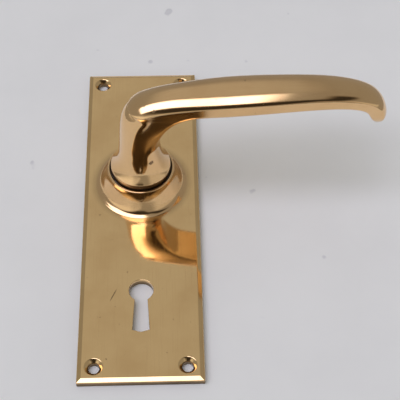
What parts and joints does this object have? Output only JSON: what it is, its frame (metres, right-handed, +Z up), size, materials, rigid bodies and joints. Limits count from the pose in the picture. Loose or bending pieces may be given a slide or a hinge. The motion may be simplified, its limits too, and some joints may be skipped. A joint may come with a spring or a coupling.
{
  "type": "door lever handle",
  "caption": "Polished brass door lever handle, sprung, on a long bevelled backplate with a keyhole and countersunk screw holes.",
  "frame": {"origin": "on the spindle's axis where it passes the door face, at the back face of the backplate", "axes": "+Z up along the backplate, +X towards the lever's tip at rest, +Y into the door, so the front of the handle faces -Y"},
  "size_m": [0.1285, 0.1082, 0.165],
  "materials": {
    "plate_brass": "polished, lightly worn",
    "collar_brass": "polished",
    "lever_brass": "polished, lightly worn",
    "nylon": "natural moulded",
    "pin_steel": "ground",
    "spring_steel": "oiled",
    "zinc_steel": "zinc plated",
    "spindle_steel": "drawn bar"
  },
  "bodies": {
    "plate": {"backplate": "plate_brass", "collar": "collar_brass", "bearing_bush": "nylon", "thrust_washer": "nylon", "stop_pins": "pin_steel", "return_spring": "spring_steel"},
    "lever": {"lever": "lever_brass", "stop_cam": "zinc_steel", "flat_washer": "zinc_steel", "wave_washer": "spring_steel", "circlip": "spring_steel", "spindle": "spindle_steel"}
  },
  "joints": [
    {"name": "lever_turn", "type": "hinge", "parent": "plate", "child": "lever", "pos_m": [0, 0, 0], "axis": [0, 1, 0], "range_deg": [0, 40], "stiffness_Nm_per_rad": 0.175, "springref_deg": -60.16, "deforming": ["return_spring"]}
  ]
}
